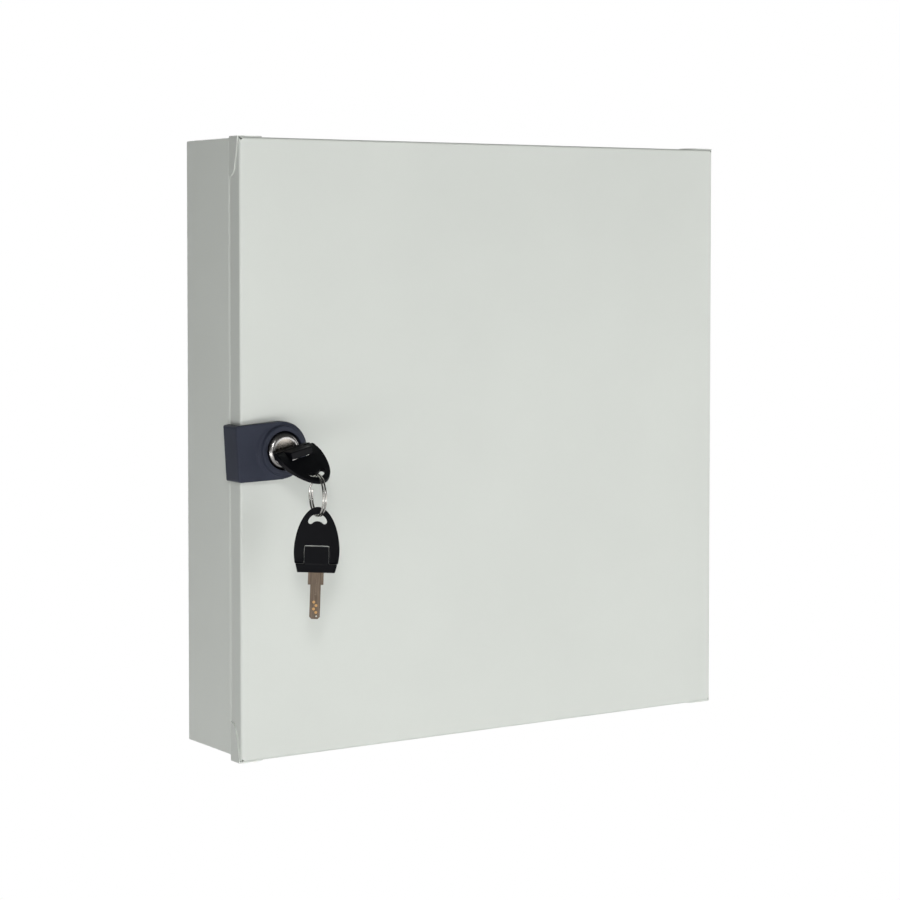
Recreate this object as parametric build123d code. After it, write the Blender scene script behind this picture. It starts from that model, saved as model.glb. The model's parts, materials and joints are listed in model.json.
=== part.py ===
from build123d import *
import math
import os

# A wall cabinet for padlocks: a steel case with a frame let into its mouth, a tray-shaped door on a rod
# hinge, a cam lock in a moulded housing that wraps the door's edge, two folding dimple keys on a split ring,
# and three rails of hooks inside.
# Millimetres. X points right, Y into the wall, Z up. The origin is the middle of the four wall holes, on the
# back face of the case.

# Sheet metal
SHEET = 1.0
DOOR_WIDTH = 368.0
DOOR_HEIGHT = 380.0
CABINET_DEPTH = 70.0
FLANGE_DEPTH = 12.0
BEND_RADIUS = 1.5
CASE_BEND_RADIUS = 1.0
CASE_SETBACK = 3.5
FRAME_OVERLAP = 9.0
LIP_WIDTH = 9.0
DOOR_GAP = 1.5
LOCK_SIDE_CLEARANCE = 0.7
HINGE_SIDE_CLEARANCE = 2.4
TOP_CLEARANCE = 0.2
BOTTOM_CLEARANCE = 2.2
RELIEF_RADIUS = 0.7
RELIEF_INSET = 1.1

# Corner tabs of the door, folded over its flanges
TAB_SHEET = 0.8
TAB_DROP = 23.5
TAB_RUN = 19.0
TAB_SETBACK = 1.6
TAB_TAPER = 3.8
TAB_END_RUN = 7.0

# Wall holes
WALL_HOLE_RADIUS = 3.5
WALL_HOLE_SPACING_X = 300.0
WALL_HOLE_SPACING_Z = 320.0

# Rod hinge
HINGE_PITCH = 30.0
HINGE_KNUCKLES = 11
HINGE_RADIUS = 2.0
HINGE_PIN_RADIUS = 1.1
HINGE_RUNNING = 0.05
HINGE_END_GAP = 0.15
HINGE_EDGE_GAP = 0.4
HINGE_STEP = 0.4
HINGE_LEAF = 1.0
HINGE_LEAF_WIDTH = 9.5

# Hook rails
RAILS = 3
RAIL_TOP_LEVEL = 138.0
RAIL_SPACING = 114.0
RAIL_LENGTH = 328.0
RAIL_HEIGHT = 20.0
HOOKS = 7
HOOK_PITCH = 48.0
HOOK_WIDTH = 8.0
HOOK_REACH = 22.0
HOOK_RISE = 7.0
HOOK_LEG = 9.0
HOOK_BEND = 1.2
STANDOFF_LENGTH = 8.0
STANDOFF_RADIUS = 4.0
STANDOFF_SPACING = 240.0
RAIL_SCREW_RADIUS = 2.0
RAIL_SCREW_LENGTH = 7.0
SCREW_HEAD_RADIUS = 3.8
SCREW_HEAD_HEIGHT = 2.4
SCREW_CLEARANCE = 0.2
DRIVE_RADIUS = 1.4
DRIVE_DEPTH = 1.3

# Rubber bumpers on the case's front lips
BUMPER_RADIUS = 3.5
BUMPER_GAP = 0.3
BUMPER_INSET = 38.0

# Lock
LOCK_INSET = 25.0
HOUSING_TILT = 3.5
HOUSING_HEIGHT = 34.4
HOUSING_PROUD = 4.0
HOUSING_WRAP = 13.7
HOUSING_WALL = 4.0
HOUSING_ROUNDING = 1.4
COLLAR_RADIUS = 17.6
COLLAR_PROUD = 8.0
COLLAR_ROUNDING = 1.8
RAMP_RUN = 11.0
RIM_RADIUS = 15.2
RIM_PROUD = 10.4
RIM_ROUNDING = 0.9
BEZEL_RADIUS = 11.4
BEZEL_GAP = 0.5
BEZEL_SEAT = 5.0
BEZEL_PROUD = 11.6
BEZEL_EDGE = 2.6
BEZEL_STEP = 0.6
BARREL_RADIUS = 9.0
BARREL_FLATS = 16.0
BARREL_CLEARANCE = 0.1
NUT_ACROSS_FLATS = 23.0
NUT_THICKNESS = 3.5
PLUG_RADIUS = 6.3
PLUG_RUNNING = 0.05
PLUG_HEAD_RADIUS = 7.2
PLUG_HEAD_HEIGHT = 1.0
PLUG_RECESS = 0.4
PLUG_END_WALL = 1.8

# Cam
CAM_THICKNESS = 2.0
CAM_WIDTH = 13.0
CAM_REACH = 20.5
CAM_BEND = 1.8
CAM_SQUARE = 7.0
CAM_FIT = 0.05
CAM_CLEARANCE = 0.3
CAM_LIP_GAP = 1.7
CAM_CRANK_HEIGHT = 12.2
CAM_HUB = 7.5
WASHER_RADIUS = 6.0
WASHER_THICKNESS = 1.0
CAM_SCREW_RADIUS = 1.8
CAM_SCREW_GRIP = 2.6

# Keys
KEY_THICKNESS = 2.4
SHOULDER_WIDTH = 9.3
SHOULDER_LENGTH = 7.3
BLADE_WIDTH = 6.3
BLADE_LENGTH = 27.8
BLADE_CHAMFER = 1.3
TANG_WIDTH = 7.0
TANG_LENGTH = 3.6
KEYWAY_FIT = 0.15
KEY_STANDOFF = 4.2
KEYWAY_END_GAP = 0.5
GROOVE_WIDTH = 1.0
GROOVE_DEPTH = 0.4
GROOVE_LENGTH = 9.0
DIMPLES = 4
DIMPLE_RADIUS = 0.9
DIMPLE_DEPTH = 0.6
DIMPLE_PITCH = 2.05
DIMPLE_OFFSET = 0.7
TIP_HOLE_RADIUS = 0.5
BOW_WIDTH = 27.2
BOW_LENGTH = 31.5
BOW_THICKNESS = 4.8
BOW_TIP_THICKNESS = 2.6
BOW_ROUNDING = 0.7
BASE_DROP = 7.5
BASE_TOP_WIDTH = 24.8
BASE_BOTTOM_WIDTH = 22.4
TAB_WIDTH = 14.6
TAB_HEIGHT = 7.9
TAB_THICKNESS = 4.4
FOLD_GAP = 0.3
BASE_GAP = 0.15
SLOT_SIDE_GAP = 0.12
PIVOT_RADIUS = 0.9
PIVOT_RUNNING = 0.05
PIVOT_LENGTH = 22.6
KIDNEY_LEVEL = 25.4
KIDNEY_RADIUS = 5.0
KIDNEY_WIDTH = 4.2
KIDNEY_ANGLE = 38.0

# How the keys stand at rest
KEYWAY_TILT = 14.0
BOW_FOLD = 31.5
SPARE_TURN = 30.0
SPARE_LEAN = 2.0

# Split ring
RING_RADIUS = 12.2
RING_WIRE = 1.15
RING_COIL_GAP = 0.45
RING_JOGGLE = 36.0
RING_TURN = 10.8
RING_LEAN = 25.0
RING_SIDESTEP = -2.0
RING_SEAT = 24.5
SPARE_HANG = 1.35

# Places that follow from the sizes above
LEFT, RIGHT = -DOOR_WIDTH / 2, DOOR_WIDTH / 2
BOTTOM, TOP = -DOOR_HEIGHT / 2, DOOR_HEIGHT / 2
FRONT = -CABINET_DEPTH
DOOR_INNER = FRONT + SHEET
FLANGE_REAR = FRONT + FLANGE_DEPTH
CASE_LEFT = LEFT + SHEET + LOCK_SIDE_CLEARANCE
CASE_RIGHT = RIGHT - SHEET - HINGE_SIDE_CLEARANCE
CASE_BOTTOM = BOTTOM + SHEET + BOTTOM_CLEARANCE
CASE_TOP = TOP - SHEET - TOP_CLEARANCE
CASE_FRONT = DOOR_INNER + DOOR_GAP
TRAY_LEFT, TRAY_RIGHT = CASE_LEFT - SHEET, CASE_RIGHT + SHEET
TRAY_BOTTOM, TRAY_TOP = CASE_BOTTOM - SHEET, CASE_TOP + SHEET
TRAY_FRONT = FLANGE_REAR + CASE_SETBACK
HINGE_X = RIGHT - SHEET - HINGE_LEAF + HINGE_RADIUS
HINGE_Y = FLANGE_REAR + HINGE_EDGE_GAP + HINGE_RADIUS
HINGE_LENGTH = HINGE_PITCH * HINGE_KNUCKLES
RAIL_LEVELS = [RAIL_TOP_LEVEL - number * RAIL_SPACING for number in range(RAILS)]
RAIL_BACK = -SHEET - STANDOFF_LENGTH
RAIL_FRONT = RAIL_BACK - SHEET
LOCK_X = LEFT + LOCK_INSET
BEZEL_FACE = FRONT - BEZEL_PROUD
PLUG_FACE = BEZEL_FACE + PLUG_RECESS
PIVOT_Y = BEZEL_FACE - KEY_STANDOFF - BASE_DROP
BLADE_END = PIVOT_Y + BASE_DROP + BLADE_LENGTH
PLUG_REAR = BLADE_END + KEYWAY_END_GAP + PLUG_END_WALL
BARREL_REAR = PLUG_REAR - CAM_CLEARANCE
CAM_REAR = PLUG_REAR + CAM_THICKNESS
COIL_STEP = RING_WIRE + RING_COIL_GAP


def block(low, high):
    """A box between two opposite corners."""
    size = [b - a for a, b in zip(low, high)]
    middle = [(a + b) / 2 for a, b in zip(low, high)]
    return Pos(*middle) * Box(*size)


def rod(radius, y0, y1, x=0.0, z=0.0):
    """A cylinder along Y."""
    return Pos(x, (y0 + y1) / 2, z) * Rot(90, 0, 0) * Cylinder(radius, abs(y1 - y0))


def upright(radius, z0, z1, x, y):
    """A cylinder along Z."""
    return Pos(x, y, (z0 + z1) / 2) * Cylinder(radius, z1 - z0)


def facing(y):
    """A sketch plane that looks at the viewer from depth y, with its axes along X and Z."""
    return Plane(origin=(0, y, 0), x_dir=(1, 0, 0), z_dir=(0, -1, 0))


def mirrored(shape):
    """The shape with its copies in the other three corners."""
    pair = shape + shape.mirror(Plane.YZ)
    return pair + pair.mirror(Plane.XY)


def corner_tab():
    """The sheet tab of the upper left corner, over the side flange and the top flange."""
    front = FRONT + TAB_SETBACK
    side = Plane(origin=(LEFT - TAB_SHEET, 0, 0), x_dir=(0, 1, 0), z_dir=(1, 0, 0))
    low, bend = TOP - TAB_DROP, TOP - TAB_DROP + TAB_END_RUN
    slant = front + TAB_TAPER
    edge = ThreePointArc((front, TOP), (front + TAB_TAPER * 0.36, (TOP + bend) / 2), (slant, bend))
    end = EllipticalCenterArc((FLANGE_REAR, bend), FLANGE_REAR - slant, TAB_END_RUN, 180, arc_size=90)
    outline = edge + end + Polyline((FLANGE_REAR, low), (FLANGE_REAR, TOP), (front, TOP))
    side_face = extrude(side * make_face(outline), TAB_SHEET)
    top_face = block((LEFT, front, TOP), (LEFT + TAB_RUN, FLANGE_REAR, TOP + TAB_SHEET))
    far_end = top_face.faces().sort_by(Axis.X)[-1]
    top_face = fillet(far_end.edges().filter_by(Axis.Z).sort_by(Axis.Y)[0], TAB_END_RUN)
    corner = block((LEFT - TAB_SHEET, front, TOP), (LEFT, FLANGE_REAR, TOP + TAB_SHEET))
    tab = side_face + top_face + corner
    ridge = tab.edges().filter_by(Axis.Y).sort_by(Axis.X)[:2].sort_by(Axis.Z)[-1]
    return fillet(ridge, TAB_SHEET * 0.95)


def lock_hole(clearance):
    """The double-D cut-out that stops the barrel from turning, as a long bar along Y."""
    bar = rod(BARREL_RADIUS + clearance, FRONT - RIM_PROUD, 0, LOCK_X)
    half = BARREL_FLATS / 2 + clearance
    reach = BARREL_RADIUS + clearance
    return bar & block((LOCK_X - half, FRONT - RIM_PROUD, -reach), (LOCK_X + half, 0, reach))


def make_door():
    tray = block((LEFT, FRONT, BOTTOM), (RIGHT, FLANGE_REAR, TOP))
    bends = tray.edges().filter_by(Axis.Y) + tray.faces().sort_by(Axis.Y)[0].edges()
    tray = fillet(bends, BEND_RADIUS)
    hollow = block((LEFT + SHEET, DOOR_INNER, BOTTOM + SHEET), (RIGHT - SHEET, FLANGE_REAR, TOP - SHEET))
    rim = hollow.edges().filter_by(Axis.Y) + hollow.faces().sort_by(Axis.Y)[0].edges()
    hollow = fillet(rim, BEND_RADIUS - SHEET)
    door = tray - hollow - lock_hole(BARREL_CLEARANCE)
    relief = rod(RELIEF_RADIUS, FRONT - 1, DOOR_INNER + 1, LEFT + RELIEF_INSET, TOP - RELIEF_INSET)
    return door + mirrored(corner_tab()) - mirrored(relief)


def make_case():
    """The open tray against the wall: a back and four sides of one thickness."""
    box = block((TRAY_LEFT, TRAY_FRONT, TRAY_BOTTOM), (TRAY_RIGHT, 0, TRAY_TOP))
    box = fillet(box.edges().filter_by(Axis.Y), CASE_BEND_RADIUS)
    box = fillet(box.faces().sort_by(Axis.Y)[0].outer_wire().edges(), SHEET * 0.3)
    inside = block((CASE_LEFT, TRAY_FRONT - 1, CASE_BOTTOM), (CASE_RIGHT, -SHEET, CASE_TOP))
    hole = rod(WALL_HOLE_RADIUS, -2 * SHEET, SHEET, -WALL_HOLE_SPACING_X / 2, WALL_HOLE_SPACING_Z / 2)
    return box - inside - mirrored(hole)


def make_front_frame():
    """The angle frame in the mouth of the case, under the door's flanges, with the lip that the cam holds."""
    rear = TRAY_FRONT + FRAME_OVERLAP
    ring = block((CASE_LEFT, CASE_FRONT, CASE_BOTTOM), (CASE_RIGHT, rear, CASE_TOP))
    ring = fillet(ring.faces().sort_by(Axis.Y)[0].edges(), CASE_BEND_RADIUS)
    inside = block((CASE_LEFT + SHEET, CASE_FRONT + SHEET, CASE_BOTTOM + SHEET),
                   (CASE_RIGHT - SHEET, rear + 1, CASE_TOP - SHEET))
    mouth = block((CASE_LEFT + LIP_WIDTH, CASE_FRONT - 1, CASE_BOTTOM + LIP_WIDTH),
                  (CASE_RIGHT - LIP_WIDTH, CASE_FRONT + SHEET + 1, CASE_TOP - LIP_WIDTH))
    return ring - inside - mouth


def hinge_spans(first):
    """The levels of every second knuckle, from its lower to its upper end."""
    for number in range(first, HINGE_KNUCKLES, 2):
        low = -HINGE_LENGTH / 2 + number * HINGE_PITCH
        yield low + HINGE_END_GAP, low + HINGE_PITCH - HINGE_END_GAP


def make_hinge_leaf(first, leaf_x, strip_y0, strip_y1, bore):
    """A strip against the sheet, with a tab to each of its rolled knuckles."""
    leaf = block((leaf_x, strip_y0, -HINGE_LENGTH / 2), (leaf_x + HINGE_LEAF, strip_y1, HINGE_LENGTH / 2))
    near = strip_y1 if strip_y1 < HINGE_Y else strip_y0
    for low, high in hinge_spans(first):
        leaf += block((leaf_x, min(near, HINGE_Y), low), (leaf_x + HINGE_LEAF, max(near, HINGE_Y), high))
        leaf += upright(HINGE_RADIUS, low, high, HINGE_X, HINGE_Y)
    return leaf - upright(bore, -HINGE_LENGTH / 2, HINGE_LENGTH / 2, HINGE_X, HINGE_Y)


def make_case_leaf():
    near = HINGE_Y + HINGE_RADIUS + HINGE_STEP
    return make_hinge_leaf(0, TRAY_RIGHT, near, near + HINGE_LEAF_WIDTH, HINGE_PIN_RADIUS)


def make_door_leaf():
    near = HINGE_Y - HINGE_RADIUS - HINGE_STEP
    leaf_x = RIGHT - SHEET - HINGE_LEAF
    return make_hinge_leaf(1, leaf_x, near - HINGE_LEAF_WIDTH, near, HINGE_PIN_RADIUS + HINGE_RUNNING)


def make_hinge_pin():
    return upright(HINGE_PIN_RADIUS, -HINGE_LENGTH / 2, HINGE_LENGTH / 2, HINGE_X, HINGE_Y)


def standoff_places():
    """Where the rails are screwed on, two places to a rail."""
    for level in RAIL_LEVELS:
        for x in (-STANDOFF_SPACING / 2, STANDOFF_SPACING / 2):
            yield x, level


def make_hook(level):
    """A strip bent three ways: a leg against the rail, a floor, and a lip that keeps the shackle on."""
    low = level - RAIL_HEIGHT / 2
    leg, floor, lip = RAIL_FRONT - SHEET / 2, low + SHEET / 2, RAIL_FRONT - HOOK_REACH + SHEET / 2
    corners = (leg, low + HOOK_LEG), (leg, floor), (lip, floor), (lip, low + HOOK_RISE)
    line = FilletPolyline(*corners, radius=HOOK_BEND)
    return extrude(Plane.YZ * trace(line, SHEET), HOOK_WIDTH / 2, both=True)


def make_rail(level):
    """A flat rail with its row of hooks welded on."""
    low, high = level - RAIL_HEIGHT / 2, level + RAIL_HEIGHT / 2
    rail = block((-RAIL_LENGTH / 2, RAIL_FRONT, low), (RAIL_LENGTH / 2, RAIL_BACK, high))
    rail = fillet(rail.edges().filter_by(Axis.Y), SHEET)
    for x in (-STANDOFF_SPACING / 2, STANDOFF_SPACING / 2):
        rail -= rod(RAIL_SCREW_RADIUS + SCREW_CLEARANCE, RAIL_FRONT - 1, RAIL_BACK + 1, x, level)
    hook = make_hook(level)
    places = [(number - (HOOKS - 1) / 2) * HOOK_PITCH for number in range(HOOKS)]
    return Compound(children=[rail] + [Pos(x, 0, 0) * hook for x in places])


def make_standoffs():
    sleeve = rod(STANDOFF_RADIUS, RAIL_BACK, -SHEET) - rod(RAIL_SCREW_RADIUS, RAIL_BACK, -SHEET)
    return Compound(children=[Pos(x, 0, z) * sleeve for x, z in standoff_places()])


def make_screw(shank_radius, head_y, tip_y):
    """A pan head screw along Y with its head towards head_y and a square drive recess."""
    way = 1 if tip_y > head_y else -1
    head = rod(SCREW_HEAD_RADIUS, head_y - way * SCREW_HEAD_HEIGHT, head_y)
    outer = head.faces().sort_by(Axis.Y)[0 if way > 0 else -1].edges()
    head = fillet(outer, SCREW_HEAD_HEIGHT * 0.45)
    top = head_y - way * SCREW_HEAD_HEIGHT
    ends = sorted((top, top + way * DRIVE_DEPTH))
    drive = block((-DRIVE_RADIUS, ends[0], -DRIVE_RADIUS), (DRIVE_RADIUS, ends[1], DRIVE_RADIUS))
    return head + rod(shank_radius, min(head_y, tip_y), max(head_y, tip_y)) - drive


def make_rail_screws():
    screw = make_screw(RAIL_SCREW_RADIUS, RAIL_FRONT, RAIL_FRONT + RAIL_SCREW_LENGTH)
    return Compound(children=[Pos(x, 0, z) * screw for x, z in standoff_places()])


def make_bumpers():
    thickness = DOOR_GAP - BUMPER_GAP
    pads = []
    for x in (CASE_LEFT + LIP_WIDTH / 2, CASE_RIGHT - LIP_WIDTH / 2):
        for z in (CASE_BOTTOM + BUMPER_INSET, CASE_TOP - BUMPER_INSET):
            pads.append(rod(BUMPER_RADIUS, CASE_FRONT - thickness, CASE_FRONT, x, z))
    return Compound(children=pads)


def make_housing():
    """A plate that ramps up to a round collar and wraps the door's edge, mounted a little askew."""
    left = -LOCK_INSET - HOUSING_WALL
    half = HOUSING_HEIGHT / 2
    outline = Polyline((left, -half), (0, -COLLAR_RADIUS), (0, COLLAR_RADIUS), (left, half), (left, -half))
    ramp = Polyline((left, HOUSING_WRAP), (left, -HOUSING_PROUD), (-COLLAR_RADIUS + RAMP_RUN, -COLLAR_PROUD),
                    (0, -COLLAR_PROUD), (0, HOUSING_WRAP), (left, HOUSING_WRAP))
    plate = extrude(Plane.XZ * make_face(outline), HOUSING_WRAP, both=True)
    plate &= extrude(Plane.XY * make_face(ramp), HOUSING_HEIGHT, both=True)
    plate = fillet(plate.faces().sort_by(Axis.X)[0].edges(), HOUSING_ROUNDING)
    collar = rod(COLLAR_RADIUS, -COLLAR_PROUD, HOUSING_WRAP)
    collar = fillet(collar.edges().group_by(Axis.Y)[0], COLLAR_ROUNDING)
    rim = rod(RIM_RADIUS, -RIM_PROUD, 0)
    rim = fillet(rim.edges().group_by(Axis.Y)[0], RIM_ROUNDING)
    body = Pos(LOCK_X, FRONT, 0) * Rot(0, -HOUSING_TILT, 0) * (plate + collar + rim)
    door_space = block((LEFT, FRONT, -HOUSING_HEIGHT), (LOCK_X + HOUSING_HEIGHT, 0, HOUSING_HEIGHT))
    seat = rod(BEZEL_RADIUS + BEZEL_GAP, FRONT - RIM_PROUD - 1, FRONT - BEZEL_SEAT, LOCK_X)
    return body - door_space - seat - lock_hole(BARREL_CLEARANCE)


def make_cylinder():
    """The barrel and its domed, stepped bezel."""
    bore = PLUG_RADIUS + PLUG_RUNNING
    seat = FRONT - BEZEL_SEAT
    shoulder = seat - BEZEL_EDGE
    inner = BEZEL_RADIUS - BEZEL_STEP
    crown = PLUG_HEAD_RADIUS + 1.0
    edge = Polyline((bore, seat), (BEZEL_RADIUS, seat), (BEZEL_RADIUS, shoulder + BEZEL_STEP / 2),
                    (inner, shoulder), (inner - BEZEL_STEP, shoulder))
    rise = BEZEL_FACE - shoulder
    dome = ThreePointArc((inner - BEZEL_STEP, shoulder),
                         ((inner - BEZEL_STEP + crown) / 2 + BEZEL_STEP, shoulder + rise * 0.68),
                         (crown, BEZEL_FACE))
    close = Polyline((crown, BEZEL_FACE), (bore, BEZEL_FACE), (bore, seat))
    bezel = revolve(make_face(edge + dome + close), Axis.Y)
    barrel = rod(BARREL_RADIUS, seat, BARREL_REAR) & block(
        (-BARREL_FLATS / 2, seat, -BARREL_RADIUS), (BARREL_FLATS / 2, BARREL_REAR, BARREL_RADIUS))
    barrel -= rod(bore, seat, BARREL_REAR)
    pocket = rod(PLUG_HEAD_RADIUS + PLUG_RUNNING, BEZEL_FACE - 1, PLUG_FACE + PLUG_HEAD_HEIGHT)
    return Pos(LOCK_X, 0, 0) * (bezel + barrel - pocket)


def make_nut():
    """The thin hexagon nut that clamps the lock to the door."""
    hexagon = RegularPolygon(NUT_ACROSS_FLATS / 2, 6, major_radius=False)
    nut = extrude(facing(DOOR_INNER) * Pos(LOCK_X, 0) * hexagon, -NUT_THICKNESS)
    return nut - rod(BARREL_RADIUS, DOOR_INNER - 1, DOOR_INNER + NUT_THICKNESS + 1, LOCK_X)


def keyway():
    """The slot for the key: wide at its mouth for the shoulder, then as wide as the blade."""
    height = KEY_THICKNESS / 2 + KEYWAY_FIT
    wide = SHOULDER_WIDTH / 2 + KEYWAY_FIT
    narrow = BLADE_WIDTH / 2 + KEYWAY_FIT
    shoulder_end = PIVOT_Y + BASE_DROP + SHOULDER_LENGTH + KEYWAY_FIT
    slot = block((-wide, PLUG_FACE - 1, -height), (wide, shoulder_end, height))
    slot += block((-narrow, PLUG_FACE - 1, -height), (narrow, BLADE_END + KEYWAY_END_GAP, height))
    return Rot(0, -KEYWAY_TILT, 0) * slot


def make_plug():
    plug = rod(PLUG_RADIUS, PLUG_FACE, PLUG_REAR)
    plug += rod(PLUG_HEAD_RADIUS, PLUG_FACE, PLUG_FACE + PLUG_HEAD_HEIGHT)
    half = CAM_SQUARE / 2
    plug += block((-half, PLUG_REAR - 1, -half), (half, CAM_REAR - CAM_FIT, half))
    plug -= rod(CAM_SCREW_RADIUS, CAM_REAR - CAM_SCREW_GRIP - CAM_FIT, CAM_REAR)
    return Pos(LOCK_X, 0, 0) * (plug - keyway())


def make_cam():
    """A flat arm, cranked forward past the barrel so that its tip lies close behind the case's lip."""
    hub_y = PLUG_REAR + CAM_THICKNESS / 2
    tip_y = CASE_FRONT + SHEET + CAM_LIP_GAP + CAM_THICKNESS / 2
    line = FilletPolyline((hub_y, -CAM_HUB), (hub_y, CAM_CRANK_HEIGHT), (tip_y, CAM_CRANK_HEIGHT),
                          (tip_y, CAM_REACH), radius=CAM_BEND)
    arm = extrude(Plane.YZ * trace(line, CAM_THICKNESS), CAM_WIDTH / 2, both=True)
    corners = arm.edges().filter_by(Axis.Y)
    arm = fillet(corners.group_by(Axis.Z)[0], CAM_WIDTH * 0.4)
    arm = fillet(arm.edges().filter_by(Axis.Y).group_by(Axis.Z)[-1], CAM_WIDTH * 0.2)
    half = CAM_SQUARE / 2 + CAM_FIT
    arm -= block((-half, PLUG_REAR - 1, -half), (half, CAM_REAR + 1, half))
    return Pos(LOCK_X, 0, 0) * arm


def make_cam_washer():
    washer = rod(WASHER_RADIUS, CAM_REAR, CAM_REAR + WASHER_THICKNESS)
    washer -= rod(CAM_SCREW_RADIUS + CAM_FIT, CAM_REAR, CAM_REAR + WASHER_THICKNESS)
    return Pos(LOCK_X, 0, 0) * washer


def make_cam_screw():
    seat = CAM_REAR + WASHER_THICKNESS
    return Pos(LOCK_X, 0, 0) * make_screw(CAM_SCREW_RADIUS, seat, CAM_REAR - CAM_SCREW_GRIP)


def key_bow():
    """The folding grip. Its own frame: origin on the pivot, X along it, Z towards the ring hole."""
    half = BOW_WIDTH / 2
    end = BOW_THICKNESS / 2
    right = Spline((half * 0.93, -end), (half, BOW_LENGTH * 0.17), (half * 0.89, BOW_LENGTH * 0.505),
                   (half * 0.585, BOW_LENGTH * 0.835), (0, BOW_LENGTH), tangents=((0.12, 1), (-1, 0)))
    outline = right + right.mirror(Plane.YZ) + Line((-half * 0.93, -end), (half * 0.93, -end))
    bow = extrude(Plane.XZ * make_face(outline), BOW_THICKNESS, both=True)
    thick, thin = BOW_THICKNESS / 2, BOW_TIP_THICKNESS / 2
    knee, flat = BOW_LENGTH * 0.35, KIDNEY_LEVEL - KIDNEY_RADIUS
    side = Polyline((-thick, 0), (thick, 0), (thick, knee), (thin, flat), (thin, BOW_LENGTH + 1),
                    (-thin, BOW_LENGTH + 1), (-thin, flat), (-thick, knee), (-thick, 0))
    profile = make_face(side) + Circle(thick)
    bow &= extrude(Plane.YZ * profile, BOW_WIDTH, both=True)
    slot_half = TAB_WIDTH / 2 + SLOT_SIDE_GAP
    slot_top = math.hypot(TAB_HEIGHT, TAB_THICKNESS / 2) + FOLD_GAP
    bow -= block((-slot_half, -BOW_THICKNESS, -BOW_THICKNESS), (slot_half, BOW_THICKNESS, slot_top))
    bore = Rot(0, 90, 0) * Cylinder(PIVOT_RADIUS + PIVOT_RUNNING, PIVOT_LENGTH + 2 * PIVOT_RUNNING)
    return bow - bore - kidney_hole()


def kidney_hole():
    """The curved ring hole, bent round a point below it."""
    turn = math.radians(KIDNEY_ANGLE)
    low = KIDNEY_LEVEL - KIDNEY_RADIUS
    ends = KIDNEY_RADIUS * math.sin(turn), low + KIDNEY_RADIUS * math.cos(turn)
    arc = ThreePointArc((-ends[0], ends[1]), (0, KIDNEY_LEVEL), ends)
    slot = trace(arc, KIDNEY_WIDTH)
    slot += Pos(*ends) * Circle(KIDNEY_WIDTH / 2) + Pos(-ends[0], ends[1]) * Circle(KIDNEY_WIDTH / 2)
    return extrude(Plane.XZ * slot, BOW_THICKNESS, both=True)


def tang():
    """The part of the blade that is moulded into its plastic base."""
    top = -BASE_DROP + TANG_LENGTH
    return block((-TANG_WIDTH / 2, -KEY_THICKNESS / 2, -BASE_DROP), (TANG_WIDTH / 2, KEY_THICKNESS / 2, top))


def key_base():
    """The plastic base that holds the blade, with the tab that the grip folds about."""
    top = -BOW_THICKNESS / 2 - BASE_GAP
    a, b = BASE_TOP_WIDTH / 2, BASE_BOTTOM_WIDTH / 2
    outline = Polyline((-a, top), (a, top), (b, -BASE_DROP), (-b, -BASE_DROP), (-a, top))
    base = extrude(Plane.XZ * make_face(outline), BOW_THICKNESS / 2, both=True)
    base = fillet(base.edges().filter_by(Axis.X).group_by(Axis.Z)[0], BOW_ROUNDING)
    tab = block((-TAB_WIDTH / 2, -TAB_THICKNESS / 2, top), (TAB_WIDTH / 2, TAB_THICKNESS / 2, TAB_HEIGHT))
    bore = Rot(0, 90, 0) * Cylinder(PIVOT_RADIUS, TAB_WIDTH + 1)
    return base + tab - bore - tang()


def key_pin():
    return Rot(0, 90, 0) * Cylinder(PIVOT_RADIUS, PIVOT_LENGTH)


def key_blade():
    """The flat blade: a shoulder, a grooved shank, a row of dimples and a chamfered tip."""
    thick = KEY_THICKNESS / 2
    tip = -BASE_DROP - BLADE_LENGTH
    neck = -BASE_DROP - SHOULDER_LENGTH
    blade = block((-BLADE_WIDTH / 2, -thick, tip), (BLADE_WIDTH / 2, thick, neck))
    blade = chamfer(blade.edges().filter_by(Axis.Y).group_by(Axis.Z)[0], BLADE_CHAMFER)
    blade += block((-SHOULDER_WIDTH / 2, -thick, neck), (SHOULDER_WIDTH / 2, thick, -BASE_DROP)) + tang()
    for side in (-1, 1):
        groove = block((-GROOVE_WIDTH / 2, -GROOVE_DEPTH, neck - GROOVE_LENGTH * 0.65),
                       (GROOVE_WIDTH / 2, GROOVE_DEPTH, neck + GROOVE_LENGTH * 0.35))
        blade -= Pos(0, side * thick, 0) * groove
        for number in range(DIMPLES):
            z = tip + 4.0 + number * DIMPLE_PITCH
            x = DIMPLE_OFFSET * (-1) ** number
            dent = Rot(90, 0, 0) * Cone(DIMPLE_RADIUS, 0, DIMPLE_DEPTH)
            turned = dent if side < 0 else Rot(0, 0, 180) * dent
            blade -= Pos(x, side * (thick - DIMPLE_DEPTH / 2), z) * turned
    hole = rod(TIP_HOLE_RADIUS, -thick - 1, thick + 1, BLADE_WIDTH * 0.16, tip + 1.6)
    return blade - hole


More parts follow.
